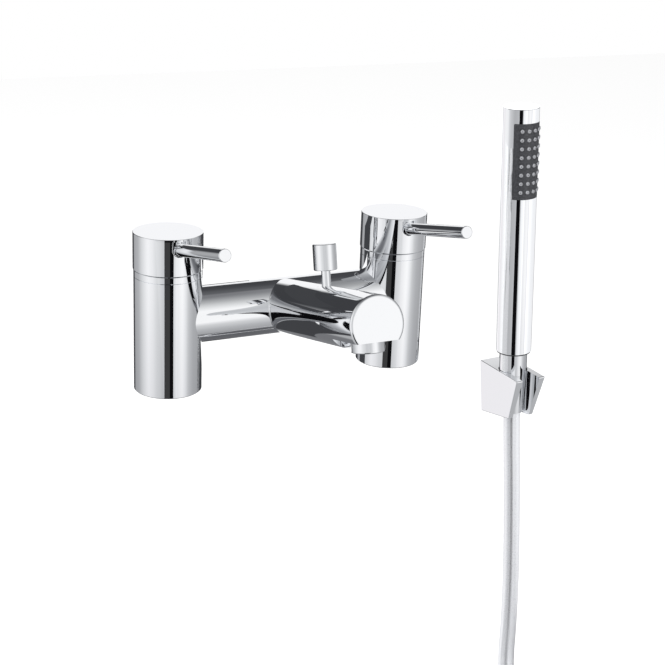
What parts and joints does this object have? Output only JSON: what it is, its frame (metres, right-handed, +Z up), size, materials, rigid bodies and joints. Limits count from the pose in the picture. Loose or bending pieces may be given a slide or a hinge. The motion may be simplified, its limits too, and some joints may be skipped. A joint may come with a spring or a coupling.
{
  "type": "bath shower mixer",
  "caption": "Deck-mounted bath shower mixer with lever handles, a diverter knob on its inclined spout, and a stick handset on a hose in a wall holder.",
  "frame": {"origin": "on the bath deck, halfway between the centres of the hot and the cold inlet, in the plane of the pillars' feet", "axes": "+Z up, the spout points along -Y over the bath, +X to the cold side on the right, where the handset hangs"},
  "size_m": [0.3857, 0.2527, 0.6372],
  "materials": {
    "chrome_plate": "bright nickel and chrome plating on polished brass, mirror smooth",
    "bare_brass": "turned brass, unplated",
    "alumina_ceramic": "lapped alumina ceramic",
    "seal_rubber": "moulded black rubber",
    "stainless_screw": "stainless steel socket screw",
    "white_acetal": "injection moulded white plastic",
    "hose_jacket": "smooth silver hose jacket",
    "grey_spray_plastic": "dark grey moulded spray face",
    "nozzle_silicone": "light grey silicone nozzles",
    "black_plastic": "black moulded ring"
  },
  "bodies": {
    "root": {"mixer_body": "chrome_plate", "hot_seat_seal": "seal_rubber", "hot_cartridge": "bare_brass", "hot_fixed_disc": "alumina_ceramic", "hot_collar": "chrome_plate", "cold_seat_seal": "seal_rubber", "cold_cartridge": "bare_brass", "cold_fixed_disc": "alumina_ceramic", "cold_collar": "chrome_plate", "diverter_bonnet": "chrome_plate", "diverter_ring": "seal_rubber", "aerator_ring": "chrome_plate", "aerator_insert": "white_acetal", "aerator_washer": "seal_rubber", "shower_nipple": "chrome_plate", "nipple_seal": "seal_rubber", "holder_body": "chrome_plate", "holder_block": "white_acetal", "holder_screw": "stainless_screw", "hose_coil": "hose_jacket", "end_ferrule": "bare_brass", "end_washer": "seal_rubber", "hex_nut": "chrome_plate"},
    "hot_handle": {"hot_moving_disc": "alumina_ceramic", "hot_spindle": "bare_brass", "hot_spindle_ring": "seal_rubber", "hot_handle_sleeve": "chrome_plate", "hot_handle_disc": "chrome_plate", "hot_handle_hub": "chrome_plate", "hot_lever": "chrome_plate", "hot_lock_screw": "stainless_screw"},
    "cold_handle": {"cold_moving_disc": "alumina_ceramic", "cold_spindle": "bare_brass", "cold_spindle_ring": "seal_rubber", "cold_handle_sleeve": "chrome_plate", "cold_handle_disc": "chrome_plate", "cold_handle_hub": "chrome_plate", "cold_lever": "chrome_plate", "cold_lock_screw": "stainless_screw"},
    "diverter": {"diverter_knob": "chrome_plate", "diverter_rod": "chrome_plate", "diverter_disc": "bare_brass", "diverter_washer": "seal_rubber"},
    "hose_end": {"hose_ferrule": "bare_brass", "hose_drop": "hose_jacket"},
    "handset": {"handset_tube": "chrome_plate", "handset_cap": "chrome_plate", "spray_face": "grey_spray_plastic", "nozzle_mat": "nozzle_silicone", "handset_core": "white_acetal", "handset_tail": "white_acetal", "gap_ring": "black_plastic", "hose_washer": "seal_rubber", "cone_nut": "chrome_plate"}
  },
  "joints": [
    {"name": "hot_lever_turn", "type": "hinge", "parent": "root", "child": "hot_handle", "pos_m": [-0.09, 0, 0], "axis": [0, 0, 1], "range_deg": [-90, 0]},
    {"name": "cold_lever_turn", "type": "hinge", "parent": "root", "child": "cold_handle", "pos_m": [0.09, 0, 0], "axis": [0, 0, 1], "range_deg": [0, 90]},
    {"name": "diverter_lift", "type": "slide", "parent": "root", "child": "diverter", "axis": [0, 0.2071, 0.9783], "range_m": [0, 0.007]},
    {"name": "handset_lift", "type": "slide", "parent": "root", "child": "hose_end", "axis": [-0.0523, 0, 0.9986], "range_m": [0, 0.045], "deforming": ["hose_drop"]},
    {"name": "handset_turn", "type": "hinge", "parent": "hose_end", "child": "handset", "pos_m": [0.23956, 0.04642, -0.0443], "axis": [-0.0523, 0, 0.9986], "continuous": true}
  ]
}
